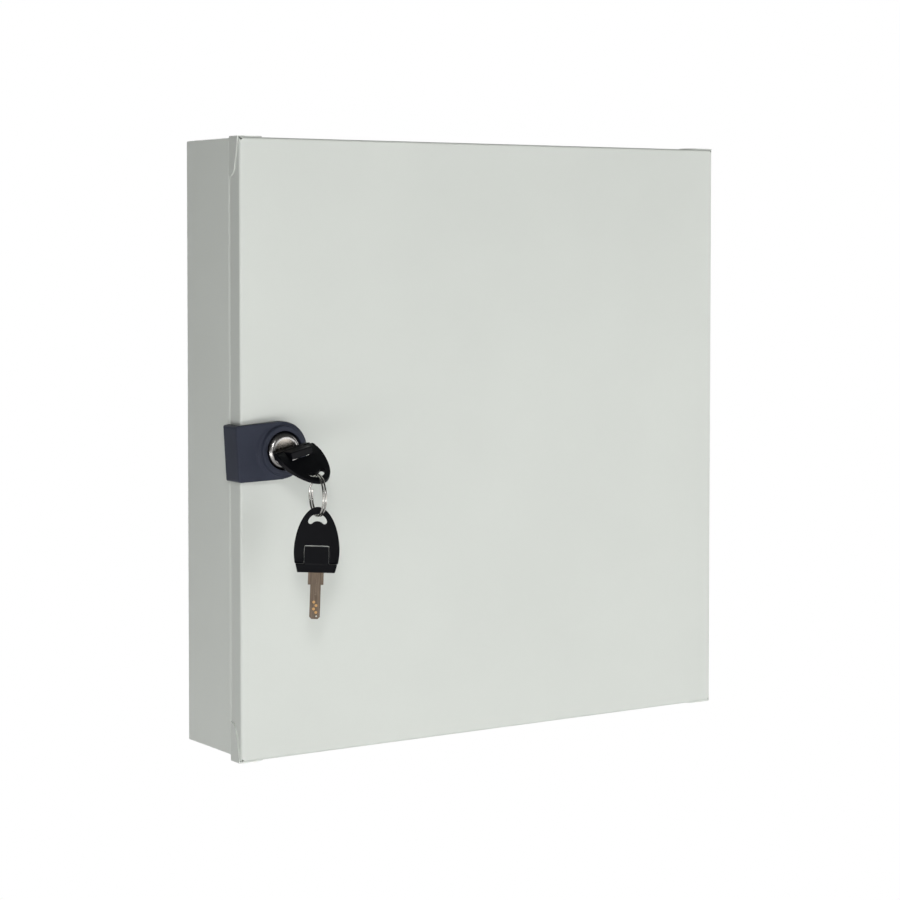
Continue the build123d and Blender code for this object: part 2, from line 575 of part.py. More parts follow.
def rest_frames():
    """Where the folding keys and the ring stand at rest."""
    tilt, fold = math.radians(KEYWAY_TILT), math.radians(BOW_FOLD)
    pivot = Vector(LOCK_X, PIVOT_Y, 0)
    along = Vector(math.cos(tilt), 0, math.sin(tilt))
    grip = Vector(math.sin(fold) * math.sin(tilt), -math.cos(fold), -math.sin(fold) * math.cos(tilt))
    turn, lean = math.radians(RING_TURN), math.radians(RING_LEAN)
    level = Vector(math.sin(turn), math.cos(turn), 0)
    passing = pivot + along * RING_SIDESTEP + grip * RING_SEAT
    centre = passing - (level * math.sin(lean) + Vector(0, 0, math.cos(lean))) * RING_RADIUS
    hang = KIDNEY_LEVEL + KIDNEY_WIDTH / 2 - SPARE_HANG
    facing_turn, lie = math.radians(SPARE_TURN), math.radians(SPARE_LEAN)
    spare_level = Vector(math.cos(facing_turn), -math.sin(facing_turn), 0)
    spare_up = spare_level * math.sin(lie) + Vector(0, 0, math.cos(lie))
    spare_along = spare_level * math.cos(lie) - Vector(0, 0, math.sin(lie))
    spare = centre - Vector(0, 0, RING_RADIUS) - spare_up * hang
    return {
        "key": Plane(origin=pivot, x_dir=along, z_dir=(0, -1, 0)),
        "bow": Plane(origin=pivot, x_dir=along, z_dir=grip),
        "ring": Plane(origin=centre, x_dir=(0, 0, -1), z_dir=Vector(math.cos(turn), -math.sin(turn), 0)),
        "spare": Plane(origin=spare, x_dir=spare_along, z_dir=spare_up),
    }


def ring_point(turn, step=0.0):
    """A point of the ring's wire, its turn in degrees from the ring's lowest point."""
    a = math.radians(turn)
    return Vector(RING_RADIUS * math.cos(a), RING_RADIUS * math.sin(a), step * COIL_STEP / 2)


def make_ring():
    """Two turns of wire side by side, with one step across from the first turn to the second."""
    start = 180 + RING_JOGGLE / 2 - 60
    end = start + 360 - RING_JOGGLE
    first = ThreePointArc(ring_point(start, -1), ring_point((start + end) / 2, -1), ring_point(end, -1))
    second = ThreePointArc(ring_point(start, 1), ring_point((start + end) / 2, 1), ring_point(end, 1))
    middle = ring_point(end + RING_JOGGLE / 2)
    step = Spline(first @ 1, middle, second @ 0, tangents=(first % 1, second % 0))
    path = Wire([first, step, second])
    section = Plane(origin=path @ 0, z_dir=path % 0) * Circle(RING_WIRE / 2)
    return sweep(section, path=path)


FRAMES = rest_frames()
PARTS = {
    "case": make_case(),
    "front_frame": make_front_frame(),
    "hinge_case_leaf": make_case_leaf(),
    "hinge_pin": make_hinge_pin(),
    "hook_rail_top": make_rail(RAIL_LEVELS[0]),
    "hook_rail_middle": make_rail(RAIL_LEVELS[1]),
    "hook_rail_bottom": make_rail(RAIL_LEVELS[2]),
    "rail_standoffs": make_standoffs(),
    "rail_screws": make_rail_screws(),
    "door_bumpers": make_bumpers(),
    "door": make_door(),
    "hinge_door_leaf": make_door_leaf(),
    "lock_housing": make_housing(),
    "lock_cylinder": make_cylinder(),
    "lock_nut": make_nut(),
    "lock_plug": make_plug(),
    "lock_cam": make_cam(),
    "cam_washer": make_cam_washer(),
    "cam_screw": make_cam_screw(),
    "key_blade": FRAMES["key"].location * key_blade(),
    "key_base": FRAMES["key"].location * key_base(),
    "key_pivot_pin": FRAMES["key"].location * key_pin(),
    "key_bow": FRAMES["bow"].location * key_bow(),
    "key_ring": FRAMES["ring"].location * make_ring(),
    "spare_key_bow": FRAMES["spare"].location * key_bow(),
    "spare_key_blade": FRAMES["spare"].location * key_blade(),
    "spare_key_base": FRAMES["spare"].location * key_base(),
    "spare_key_pivot_pin": FRAMES["spare"].location * key_pin(),
}

os.makedirs("parts", exist_ok=True)
for name, shape in PARTS.items():
    export_step(shape, f"parts/{name}.step")
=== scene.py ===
import bmesh
import bpy
import json
import math
from mathutils import Matrix, Vector


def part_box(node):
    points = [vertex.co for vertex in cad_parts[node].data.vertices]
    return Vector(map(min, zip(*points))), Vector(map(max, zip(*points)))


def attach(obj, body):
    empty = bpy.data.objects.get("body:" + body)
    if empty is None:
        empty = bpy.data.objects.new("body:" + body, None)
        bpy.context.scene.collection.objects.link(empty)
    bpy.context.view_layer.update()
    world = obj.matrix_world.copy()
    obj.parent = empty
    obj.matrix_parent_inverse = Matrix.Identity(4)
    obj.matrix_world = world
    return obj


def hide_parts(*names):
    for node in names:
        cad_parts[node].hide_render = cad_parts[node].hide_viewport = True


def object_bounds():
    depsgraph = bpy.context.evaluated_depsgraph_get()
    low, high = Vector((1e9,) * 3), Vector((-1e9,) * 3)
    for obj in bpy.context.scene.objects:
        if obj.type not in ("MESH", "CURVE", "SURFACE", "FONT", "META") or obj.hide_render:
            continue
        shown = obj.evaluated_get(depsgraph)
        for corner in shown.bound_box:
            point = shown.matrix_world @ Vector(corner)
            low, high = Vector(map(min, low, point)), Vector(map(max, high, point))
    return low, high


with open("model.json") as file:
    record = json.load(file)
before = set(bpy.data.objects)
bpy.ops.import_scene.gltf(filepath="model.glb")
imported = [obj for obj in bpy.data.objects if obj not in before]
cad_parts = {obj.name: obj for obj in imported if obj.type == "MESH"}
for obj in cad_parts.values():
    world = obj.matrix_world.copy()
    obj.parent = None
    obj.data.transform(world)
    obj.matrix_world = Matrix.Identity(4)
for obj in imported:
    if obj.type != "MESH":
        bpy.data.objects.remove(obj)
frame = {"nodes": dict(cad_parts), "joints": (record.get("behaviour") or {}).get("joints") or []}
cad_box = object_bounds()
nodes = frame["nodes"]

# Places and sizes are in metres and angles in degrees, unless a comment says otherwise

# Camera, from the corners of the cabinet in the photograph
CAMERA_PLACE = Vector((-0.8826, -1.3514, 0.1251))
CAMERA_YAW = 33.581
CAMERA_PITCH = 2.316
CAMERA_ROLL = 0.029
CAMERA_SHIFT = -0.12
CAMERA_CLIP = (0.05, 50.0)
FOCAL_PIXELS = 2409.2
IMAGE_PIXELS = 900
SENSOR_MM = 36.0

# Softboxes: place, size, and power in watts. The last two light what the camera doesn't see
LIGHTS = {
    "key_box": ((-1.34, -2.09, 0.9), (0.5, 0.5), 16.3),
    "broad_box": ((-3.6, -6.4, 0.5), (4.5, 2.2), 32.0),
    "right_box": ((1.3, -2.2, -0.05), (2.0, 1.0), 18.4),
    "left_strip": ((-1.3, -0.7, -0.45), (1.2, 0.2), 5.7),
    "front_strip": ((0.4, -1.2, -0.5), (1.4, 0.15), 2.5),
    "back_box": ((0.2, 2.6, 0.9), (0.8, 0.8), 28.0),
    "side_box": ((2.8, 0.3, 0.8), (1.6, 1.6), 22.0),
}
LIGHT_TARGET = (0.0, -0.05, 0.0)
WORLD_STRENGTH = 0.079
WHITE = (1.0, 1.0, 1.0, 1.0)

# Floor: how far it lies below the cabinet, half its side, the radii between which it turns white, and the
# share of white inside them
FLOOR_DROP = 0.4
FLOOR_HALF = 6.0
FLOOR_FADE = (0.5, 1.1)
FLOOR_WHITE_SHARE = 0.5
FLOOR_GREY = (0.8, 0.8, 0.8, 1.0)
FLOOR_ROUGHNESS = 0.9

# Colours, 0 to 255 a channel
COAT_GREY = (216, 220, 214)
ZINC_DARK = (186, 188, 190)
ZINC_LIGHT = (212, 213, 211)
DOME_CHROME = (150, 148, 146)
RING_CHROME = (170, 168, 164)
PLUG_CHROME = (150, 144, 136)
# Painted shade for the shadowed gap round the lock's dome
SEAT_GAP_PAINTED_SHADE = (12, 12, 14)
HOUSING_BLUE = (53, 57, 70)
KEY_BLACK = (10, 11, 15)
BLADE_DARK = (78, 68, 58)
BLADE_LIGHT = (116, 103, 91)
BLADE_BRASS = (178, 140, 94)
RUBBER_DARK = (30, 30, 32)
RUBBER_LIGHT = (42, 42, 44)

# Painted shade on the door's edges, where its faces turn away from the front: its share of the coat's shade,
# and the most that an edge's face may turn to the front
COAT_EDGE_PAINTED_SHADE = 0.9
COAT_EDGE_LIMIT = 0.35

# The blades' dimples, from the pivot
DIMPLES = 4
DIMPLE_FIRST = -0.0313
DIMPLE_PITCH = 0.00205
DIMPLE_OFFSET = 0.0007
DIMPLE_RADIUS = 0.00085

# The keys' moulded grip, in millimetres above and beside its pivot. NOTCH_TOP_WORN is for the inserted key,
# whose notch is hollow and close round the tab
MM = 0.001
GRIP_FOLD = 31.5
GRIP_WIDTH = 27.2
GRIP_LENGTH = 31.5
GRIP_WAIST = 5.4
GRIP_FULLNESS = 1.8
GRIP_DRAW = 23.4
GRIP_THICKNESS = 4.8
GRIP_TIP_THICKNESS = 2.8
GRIP_KNEE = 6.0
GRIP_FLAT = 23.0
GRIP_CROWN = 0.16
GRIP_CROWN_TOP = 31.0
GRIP_END_LEAST = 0.05
GRIP_STEPS = 40
GRIP_VOXEL = 0.3
GRIP_PASSES = 5
GRIP_KEEP = 0.4
NOTCH_WIDTH = 14.8
NOTCH_TOP = 8.6
NOTCH_TOP_WORN = 8.14
NOTCH_REACH = 1.0
HOLE_CENTRE = 20.5
HOLE_RADIUS = 4.7
HOLE_ANGLE = 62.0
HOLE_WIDTH = 4.4
HOLE_END_WIDTH = 3.0
HOLE_STEPS = 12
CAP_STEPS = 8
SLAB_WELD = 0.001

# Rounding of the other moulded pieces. Points closer than a voxel over WELD_PART are joined first
BASE_VOXEL = 0.00025
BASE_PASSES = 3
BASE_KEEP = 0.5
HOUSING_VOXEL = 0.0004
HOUSING_PASSES = 6
HOUSING_KEEP = 0.5
WELD_PART = 100

# The lock's cylinder: its dome, the seat round it, the plug's bore and the barrel
DOME_DEPTH = 0.0066
DOME_RISE = 0.0042
DOME_RADIUS = 0.0114
DOME_FACE_RADIUS = 0.0078
DOME_STEPS = 14
DOME_SHARP = 40
# Radius beyond which the dome carries painted shade for the gap round it
SEAT_GAP_SHADE_RADIUS = 0.01115
PLUG_BORE = 0.00635
PLUG_HEAD_BORE = 0.00725
PLUG_HEAD_DEPTH = 0.00145
BARREL_RADIUS = 0.009
BARREL_HALF_FLAT = 0.008
BARREL_EDGE = 0.0001
LATHE_TURNS = 96

# The turned-in edge of the case's mouth: how far it reaches to the front, how far its outside and its inside
# lie from the case's side there, and the power of the curve between
BEND_REACH = 0.0033
BEND_INSET = 0.00095
BEND_WALL = 0.00098
BEND_CURVE = 1.05
BEND_STEPS = 6


def placed(name, data):
    """A new object in the scene."""
    thing = bpy.data.objects.new(name, data)
    bpy.context.scene.collection.objects.link(thing)
    return thing


def make_camera():
    """The photograph's view."""
    data = bpy.data.cameras.new("camera")
    data.sensor_width = SENSOR_MM
    data.lens = FOCAL_PIXELS / IMAGE_PIXELS * SENSOR_MM
    data.shift_y = CAMERA_SHIFT
    data.clip_start, data.clip_end = CAMERA_CLIP
    camera = placed("camera", data)
    yaw, pitch, roll = (math.radians(a) for a in (CAMERA_YAW, CAMERA_PITCH, CAMERA_ROLL))
    forward = Vector((math.sin(yaw) * math.cos(pitch), math.cos(yaw) * math.cos(pitch), -math.sin(pitch)))
    right = Vector((math.cos(yaw), -math.sin(yaw), 0))
    up = right.cross(forward)
    turned_right = right * math.cos(roll) + up * math.sin(roll)
    turned_up = up * math.cos(roll) - right * math.sin(roll)
    turn = Matrix((turned_right, turned_up, -forward)).transposed()
    camera.matrix_world = Matrix.Translation(CAMERA_PLACE) @ turn.to_4x4()
    bpy.context.scene.camera = camera


def to_linear(value):
    """One 0 to 255 channel as the renderer's linear light."""
    value /= 255
    return value / 12.92 if value <= 0.04045 else ((value + 0.055) / 1.055) ** 2.4


def colour(channels, share=1.0):
    """A 0 to 255 colour as linear light, times a share."""
    return tuple(to_linear(value) * share for value in channels) + (1.0,)


class Wiring:
    """A node tree, with short calls for the nodes that the finishes and the surroundings share."""

    def __init__(self, tree):
        self.tree = tree

    def add(self, kind, **settings):
        node = self.tree.nodes.new(kind)
        for key, value in settings.items():
            setattr(node, key, value)
        return node

    def link(self, source, target):
        self.tree.links.new(source, target)

    def fill(self, sockets, values):
        """Links or sets a node's sockets in order."""
        for socket, value in zip(sockets, values):
            if isinstance(value, bpy.types.NodeSocket):
                self.link(value, socket)
            else:
                socket.default_value = value

    def maths(self, operation, *values):
        node = self.add("ShaderNodeMath", operation=operation)
        self.fill(node.inputs, values)
        return node.outputs["Value"]

    def vector(self, operation, *values, output="Vector"):
        node = self.add("ShaderNodeVectorMath", operation=operation)
        self.fill(node.inputs, values)
        return node.outputs[output]

    def span(self, source, low, high, start=0.0, end=1.0):
        """Spreads a source that goes from start to end over low to high."""
        node = self.add("ShaderNodeMapRange")
        for socket, value in zip(("From Min", "From Max", "To Min", "To Max"), (start, end, low, high)):
            node.inputs[socket].default_value = value
        self.link(source, node.inputs["Value"])
        return node.outputs["Result"]

    def emitted(self, kind, strength):
        """White light of one strength."""
        node = self.add(kind)
        node.inputs["Color"].default_value = WHITE
        node.inputs["Strength"].default_value = strength
        return node.outputs[0]

    def blended(self, share, first, second):
        """Goes from the first shader to the second as the share goes to 1."""
        node = self.add("ShaderNodeMixShader")
        self.fill(node.inputs, (share, first, second))
        return node.outputs[0]

    def ray_share(self, *kinds):
        """1 for rays of the named kinds, 0 for all others."""
        path = self.add("ShaderNodeLightPath")
        total = path.outputs[kinds[0]]
        for kind in kinds[1:]:
            total = self.maths("MAXIMUM", total, path.outputs[kind])
        return total


class Shader(Wiring):
    """A material's nodes, round its one Principled surface."""

    def __init__(self, name):
        self.material = bpy.data.materials.new(name)
        self.material.use_nodes = True
        super().__init__(self.material.node_tree)
        self.surface = self.tree.nodes["Principled BSDF"]
        coordinates = self.add("ShaderNodeTexCoord")
        self.place = coordinates.outputs["Object"]
        self.normal = coordinates.outputs["Normal"]

    def set(self, **values):
        for key, value in values.items():
            self.surface.inputs[key.replace("_", " ")].default_value = value

    def noise(self, scale, detail=3.0, rough=0.5, stretch=None):
        texture = self.add("ShaderNodeTexNoise")
        texture.inputs["Scale"].default_value = scale
        texture.inputs["Detail"].default_value = detail
        texture.inputs["Roughness"].default_value = rough
        source = self.place
        if stretch:
            mapping = self.add("ShaderNodeMapping")
            mapping.inputs["Scale"].default_value = stretch
            self.link(self.place, mapping.inputs["Vector"])
            source = mapping.outputs["Vector"]
        self.link(source, texture.inputs["Vector"])
        return texture.outputs["Fac"]

    def shades(self, source, dark, light, low=0.3, high=0.7):
        """Goes from dark to light as the source goes from low to high."""
        node = self.add("ShaderNodeValToRGB")
        for element, place, shade in zip(node.color_ramp.elements, (low, high), (dark, light)):
            element.position = place
            element.color = shade
        self.link(source, node.inputs["Fac"])
        return node.outputs["Color"]

    def mixed(self, share, source, shade):
        """A colour source, giving way to one colour as the share goes to 1."""
        node = self.add("ShaderNodeMix", data_type="RGBA")
        self.link(share, node.inputs["Factor"])
        self.fill([socket for socket in node.inputs if socket.type == "RGBA"], (source, shade))
        return next(socket for socket in node.outputs if socket.type == "RGBA")

    def paint(self, source):
        self.link(source, self.surface.inputs["Base Color"])

    def roughen(self, source, low, high):
        self.link(self.span(source, low, high), self.surface.inputs["Roughness"])

    def bump(self, source, height, strength):
        node = self.add("ShaderNodeBump")
        node.inputs["Strength"].default_value = strength
        node.inputs["Distance"].default_value = height
        self.link(source, node.inputs["Height"])
        self.link(node.outputs["Normal"], self.surface.inputs["Normal"])

    def radius(self, centre):
        """Distance from a line along Y through the centre."""
        level = self.vector("MULTIPLY", self.vector("SUBTRACT", self.place, centre), (1.0, 0.0, 1.0))
        return self.vector("DISTANCE", level, (0.0, 0.0, 0.0), output="Value")

    def in_plane(self, origin, across, up):
        """A vector of how far a point lies from the origin along two directions."""
        offset = self.vector("SUBTRACT", self.place, origin)
        node = self.add("ShaderNodeCombineXYZ")
        parts = [self.vector("DOT_PRODUCT", offset, way, output="Value") for way in (across, up)]
        self.fill(node.inputs, parts)
        return node.outputs["Vector"]


def powder_coat(name, base, edge_painted_shade=1.0):
    """Light grey powder coat: a fine orange peel, hardly any change of shade, and painted shade on edges that
    turn away from the front.
    """
    shader = Shader(name)
    peel = shader.noise(scale=900.0, detail=2.0)
    clouds = shader.noise(scale=9.0)
    coat = shader.shades(clouds, colour(base, 0.975), colour(base, 1.02))
    # Painted shade: faces that turn away from the front get a darker share of the coat's colour
    if edge_painted_shade < 1.0:
        facing = shader.vector("DOT_PRODUCT", shader.normal, (0.0, 1.0, 0.0), output="Value")
        edge = shader.maths("LESS_THAN", shader.maths("ABSOLUTE", facing), COAT_EDGE_LIMIT)
        coat = shader.mixed(edge, coat, colour(base, edge_painted_shade))
    shader.paint(coat)
    shader.roughen(clouds, low=0.4, high=0.5)
    shader.bump(peel, height=0.00004, strength=0.5)
    shader.set(Specular_IOR_Level=0.4)
    return shader.material


def zinc_plate(name):
    """Bright zinc on pressed steel: faint crystals and a fine grain along X."""
    shader = Shader(name)
    crystals = shader.noise(scale=260.0, detail=4.0, rough=0.6)
    grain = shader.noise(scale=900.0, detail=2.0, stretch=(0.12, 1.0, 1.0))
    shader.paint(shader.shades(crystals, colour(ZINC_DARK), colour(ZINC_LIGHT), low=0.35, high=0.65))
    shader.roughen(grain, low=0.26, high=0.42)
    shader.bump(grain, height=0.00002, strength=0.4)
    shader.set(Metallic=1.0)
    return shader.material


def chrome(name, base, rough):
    """Bright plating with faint handling haze."""
    shader = Shader(name)
    haze = shader.noise(scale=160.0, detail=4.0, rough=0.6)
    shader.paint(shader.shades(haze, colour(base, 0.93), colour(base)))
    shader.roughen(haze, low=rough * 0.7, high=rough * 1.5)
    shader.set(Metallic=1.0)
    return shader.material


def lock_chrome(name, base, rough, centre):
    """Satin chrome on the lock's dome, with painted shade for the gap where it sinks into its seat in the
    housing.
    """
    shader = Shader(name)
    haze = shader.noise(scale=140.0, detail=4.0, rough=0.6)
    plating = shader.shades(haze, colour(base, 0.9), colour(base))
    # Painted shade: beyond this radius the dome is black, standing for the shadowed gap in its seat
    seat = shader.maths("GREATER_THAN", shader.radius(centre), SEAT_GAP_SHADE_RADIUS)
    shader.paint(shader.mixed(seat, plating, colour(SEAT_GAP_PAINTED_SHADE)))
    shader.roughen(haze, low=rough * 0.8, high=rough * 1.3)
    shader.set(Metallic=1.0)
    return shader.material


def moulded_plastic(name, base, rough, grain_height, gloss):
    """Moulded plastic with a fine eroded grain."""
    shader = Shader(name)
    grain = shader.noise(scale=1500.0, detail=2.0)
    flow = shader.noise(scale=60.0)
    shader.paint(shader.shades(flow, colour(base, 0.85), colour(base)))
    shader.roughen(grain, low=rough * 0.85, high=rough * 1.15)
    shader.bump(grain, height=grain_height, strength=0.6)
    shader.set(Specular_IOR_Level=gloss)
    return shader.material


def key_nickel_silver(name, origin, across, up):
    """A blade's nickel silver: milling marks along it, a warm cast, and brass in its dimples."""
    shader = Shader(name)
    marks = shader.noise(scale=1400.0, rough=0.6, stretch=(1.0, 1.0, 0.06))
    flat = shader.in_plane(origin, across, up)
    brass = 0.0
    for number in range(DIMPLES):
        centre = (DIMPLE_OFFSET * (-1) ** number, DIMPLE_FIRST + number * DIMPLE_PITCH, 0.0)
        away = shader.vector("DISTANCE", flat, centre, output="Value")
        brass = shader.maths("MAXIMUM", brass, shader.maths("LESS_THAN", away, DIMPLE_RADIUS))
    skin = shader.shades(marks, colour(BLADE_DARK), colour(BLADE_LIGHT))
    shader.paint(shader.mixed(brass, skin, colour(BLADE_BRASS)))
    shader.roughen(marks, low=0.26, high=0.44)
    shader.bump(marks, height=0.00002, strength=0.5)
    shader.set(Metallic=1.0)
    return shader.material


def soft_rubber(name):
    """Dull black rubber with a fine grain."""
    shader = Shader(name)
    grain = shader.noise(scale=1800.0, detail=2.0)
    shader.paint(shader.shades(grain, colour(RUBBER_DARK), colour(RUBBER_LIGHT)))
    shader.bump(grain, height=0.00004, strength=0.6)
    shader.set(Roughness=0.8)
    return shader.material


def joint(name):
    """A joint's place and axis."""
    found = next(j for j in frame["joints"] if j["name"] == name)
    return Vector(found["pos_m"]), Vector(found["axis"]).normalized()


def key_frames():
    """Origin, axis and direction towards the ring hole of the folded grip, the inserted key and the spare."""
    pivot, axis = joint("bow_fold")
    straight = Vector((0, -1, 0))
    folded = Matrix.Rotation(math.radians(GRIP_FOLD), 3, axis) @ straight
    spare, spare_axis = joint("spare_fold")
    spare_up = (Vector((0, 0, 1)) - spare_axis * spare_axis.z).normalized()
    return {
        "grip": (pivot, axis, folded),
        "key": (pivot, axis, straight),
        "spare": (spare, spare_axis, spare_up),
    }


def make_materials(frames):
    """Every finish, by its name in FINISHES."""
    lock_place, _ = joint("lock_turn")
    return {
        "door": powder_coat("powder_coat_door", COAT_GREY, COAT_EDGE_PAINTED_SHADE),
        "case": powder_coat("powder_coat_case", COAT_GREY),
        "zinc": zinc_plate("zinc_plate"),
        "dome": lock_chrome("lock_chrome", DOME_CHROME, 0.27, lock_place),
        "ring": chrome("ring_plating", RING_CHROME, 0.18),
        "plug": chrome("plug_plating", PLUG_CHROME, 0.25),
        "housing": moulded_plastic("housing_plastic", HOUSING_BLUE, 0.5, 0.00003, 0.12),
        "key_plastic": moulded_plastic("key_plastic", KEY_BLACK, 0.36, 0.00001, 0.07),
        "blade": key_nickel_silver("key_metal", *frames["key"]),
        "spare_blade": key_nickel_silver("spare_key_metal", *frames["spare"]),
        "rubber": soft_rubber("soft_rubber"),
    }


FINISHES = {
    "door": ["door", "hinge_door_leaf"],
    "case": ["case", "front_frame", "hinge_case_leaf"],
    "zinc": ["hinge_pin", "hook_rail_top", "hook_rail_middle", "hook_rail_bottom", "rail_standoffs",
             "rail_screws", "lock_nut", "lock_cam", "cam_washer", "cam_screw", "key_pivot_pin",
             "spare_key_pivot_pin"],
    "dome": ["lock_cylinder"],
    "ring": ["key_ring"],
    "plug": ["lock_plug"],
    "housing": ["lock_housing"],
    "key_plastic": ["key_base", "key_bow", "spare_key_base", "spare_key_bow"],
    "blade": ["key_blade"],
    "spare_blade": ["spare_key_blade"],
    "rubber": ["door_bumpers"],
}


def wear(node, material):
    """Gives a CAD node one material on all of its faces."""
    obj = nodes[node]
    if not obj.material_slots:
        obj.data.materials.append(material)
    for slot in obj.material_slots:
        slot.material = material


def dress_nodes(materials):
    """Gives every CAD node its finish."""
    for finish, members in FINISHES.items():
        for node in members:
            wear(node, materials[finish])


def add_piece(name, mesh, body, slot, material, *replaced):
    """A scene-only piece that rides a body, in place of the CAD nodes that it replaces."""
    mesh.name = name
    mesh.materials.clear()
    mesh.materials.append(material)
    piece = placed(name, mesh)
    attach(piece, body)
    if replaced:
        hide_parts(*replaced)


def rework(mesh, change):
    """Runs one change on a mesh's editable form."""
    work = bmesh.new()
    work.from_mesh(mesh)
    change(work)
    work.to_mesh(mesh)
    work.free()


def weld(mesh, reach):
    """Joins the points that lie together, so that the mesh is closed."""
    rework(mesh, lambda work: bmesh.ops.remove_doubles(work, verts=work.verts, dist=reach))


def face_out(mesh):
    """Turns all faces to the outside."""
    rework(mesh, lambda work: bmesh.ops.recalc_face_normals(work, faces=work.faces))


def smooth_below(mesh, angle):
    """Smooth shading where faces meet at less than an angle, and crisp edges elsewhere."""
    def mark(work):
        for edge in work.edges:
            edge.smooth = len(edge.link_faces) == 2 and edge.calc_face_angle() < math.radians(angle)
        for face in work.faces:
            face.smooth = True

    rework(mesh, mark)


def evaluated(helper):
    """The mesh of a helper object as the scene shows it. The helper itself goes."""
    graph = bpy.context.evaluated_depsgraph_get()
    mesh = bpy.data.meshes.new_from_object(helper.evaluated_get(graph))
    bpy.data.objects.remove(helper)
    return mesh


def softened(source, voxel, passes, keep):
    """A mesh like the source with its edges rounded, by an even remesh and a few smoothing passes."""
    helper = placed("helper", source)
    even = helper.modifiers.new("even", "REMESH")
    even.mode = "VOXEL"
    even.voxel_size = voxel
    even.use_smooth_shade = True
    rounding = helper.modifiers.new("rounding", "SMOOTH")
    rounding.factor = 0.5
    rounding.iterations = passes
    fewer = helper.modifiers.new("fewer", "DECIMATE")
    fewer.ratio = keep
    mesh = evaluated(helper)
    for polygon in mesh.polygons:
        polygon.use_smooth = True
    return mesh


def soft_copy(node, voxel, passes, keep):
    """A CAD node's mesh with rounded edges."""
    source = nodes[node].data.copy()
    source.transform(nodes[node].matrix_world)
    weld(source, voxel / WELD_PART)
    return softened(source, voxel, passes, keep)


def flat_solid(outlines, thickness):
    """A mesh between two flat faces. The first outline is its edge and the others are holes."""
    curve = bpy.data.curves.new("outline", "CURVE")
    curve.dimensions = "2D"
    curve.fill_mode = "BOTH"
    curve.extrude = thickness / 2
    for points in outlines:
        spline = curve.splines.new("POLY")
        spline.points.add(len(points) - 1)
        for point, (x, z) in zip(spline.points, points):
            point.co = (x, z, 0, 1)
        spline.use_cyclic_u = True
    mesh = evaluated(placed("outline", curve))
    weld(mesh, SLAB_WELD)
    return mesh


def closed_grid(points, columns):
    """A closed mesh from rows of points, each row and each column joined to a loop."""
    rows = len(points) // columns
    faces = []
    for row in range(rows):
        this, following = row * columns, (row + 1) % rows * columns
        for column in range(columns):
            other = (column + 1) % columns
            faces.append((this + column, this + other, following + other, following + column))
    mesh = bpy.data.meshes.new("closed_grid")
    mesh.from_pydata(points, [], faces)
    face_out(mesh)
    return mesh


def half_width(z):
    """Half the grip's width at a level above its pivot."""
    if z > GRIP_WAIST:
        share = (z - GRIP_WAIST) / (GRIP_LENGTH - GRIP_WAIST)
        return GRIP_WIDTH / 2 * math.sqrt(max(0.0, 1 - share ** GRIP_FULLNESS))
    return GRIP_WIDTH / 2 * math.sqrt(1 - ((GRIP_WAIST - z) / GRIP_DRAW) ** 2)


def grip_outline(top):
    """The egg-shaped outline, with the notch for the tab up to the given level."""
    low = -GRIP_THICKNESS / 2
    right = [(NOTCH_WIDTH / 2, top), (NOTCH_WIDTH / 2, low)]
    for step in range(GRIP_STEPS):
        z = low + (GRIP_LENGTH - low) * math.sin(math.pi / 2 * step / GRIP_STEPS)
        right.append((half_width(z), z))
    return right + [(0, GRIP_LENGTH)] + [(-x, z) for x, z in reversed(right)]


def on_arc(radius, turn):
    """A point of the arch that the ring hole follows."""
    return radius * math.sin(turn), HOLE_CENTRE + radius * math.cos(turn)


def ring_hole():
    """The arched ring hole, bent round a point below it and narrower at its ends."""
    outer, inner = [], []
    for step in range(-HOLE_STEPS, HOLE_STEPS + 1):
        share = step / HOLE_STEPS
        turn = math.radians(HOLE_ANGLE) * share
        half = (HOLE_WIDTH + (HOLE_END_WIDTH - HOLE_WIDTH) * share ** 2) / 2
        outer.append(on_arc(HOLE_RADIUS + half, turn))
        inner.append(on_arc(HOLE_RADIUS - half, turn))
    caps = []
    for side in (1, -1):
        turn = math.radians(HOLE_ANGLE) * side
        x, z = on_arc(HOLE_RADIUS, turn)
        angles = [turn + side * math.pi * step / CAP_STEPS for step in range(1, CAP_STEPS)]
        half = HOLE_END_WIDTH / 2
        caps.append([(x + half * math.sin(a), z + half * math.cos(a)) for a in angles])
    return outer + caps[0] + inner[::-1] + caps[1][::-1]


def smooth_step(low, high, value):
    """0 up to low, 1 from high on, and an even curve between them."""
    share = min(1.0, max(0.0, (value - low) / (high - low)))
    return share * share * (3 - 2 * share)


def grip_mesh(notch_top, hollow, origin, axis, up):
    """The grip: an even slab drawn thinner towards the ring, crowned across, and round at its pivot.

    A hollow notch ends in a curve about the pivot.
    """
    slab = flat_solid([grip_outline(notch_top), ring_hole()], GRIP_THICKNESS)
    mesh = softened(slab, GRIP_VOXEL, GRIP_PASSES, GRIP_KEEP)
    side = axis.cross(up)
    for vertex in mesh.vertices:
        x, z, y = vertex.co
        if hollow:
            level = max(0.0, 1 - abs(z - notch_top) / NOTCH_REACH)
            beside = min(1.0, max(0.0, 1 - (abs(x) - NOTCH_WIDTH / 2) / NOTCH_REACH))
            z -= level * beside * (notch_top - math.sqrt(notch_top ** 2 - y ** 2))
        thin = 1 - (1 - GRIP_TIP_THICKNESS / GRIP_THICKNESS) * smooth_step(GRIP_KNEE, GRIP_FLAT, z)
        crown = 1 - GRIP_CROWN * min(1.0, abs(x) / half_width(min(z, GRIP_CROWN_TOP))) ** 2
        round_end = math.sqrt(max(GRIP_END_LEAST, 1 - (min(0.0, z) / (GRIP_THICKNESS / 2)) ** 2))
        vertex.co = origin + (axis * x + side * (y * thin * crown * round_end) + up * z) * MM
    return mesh


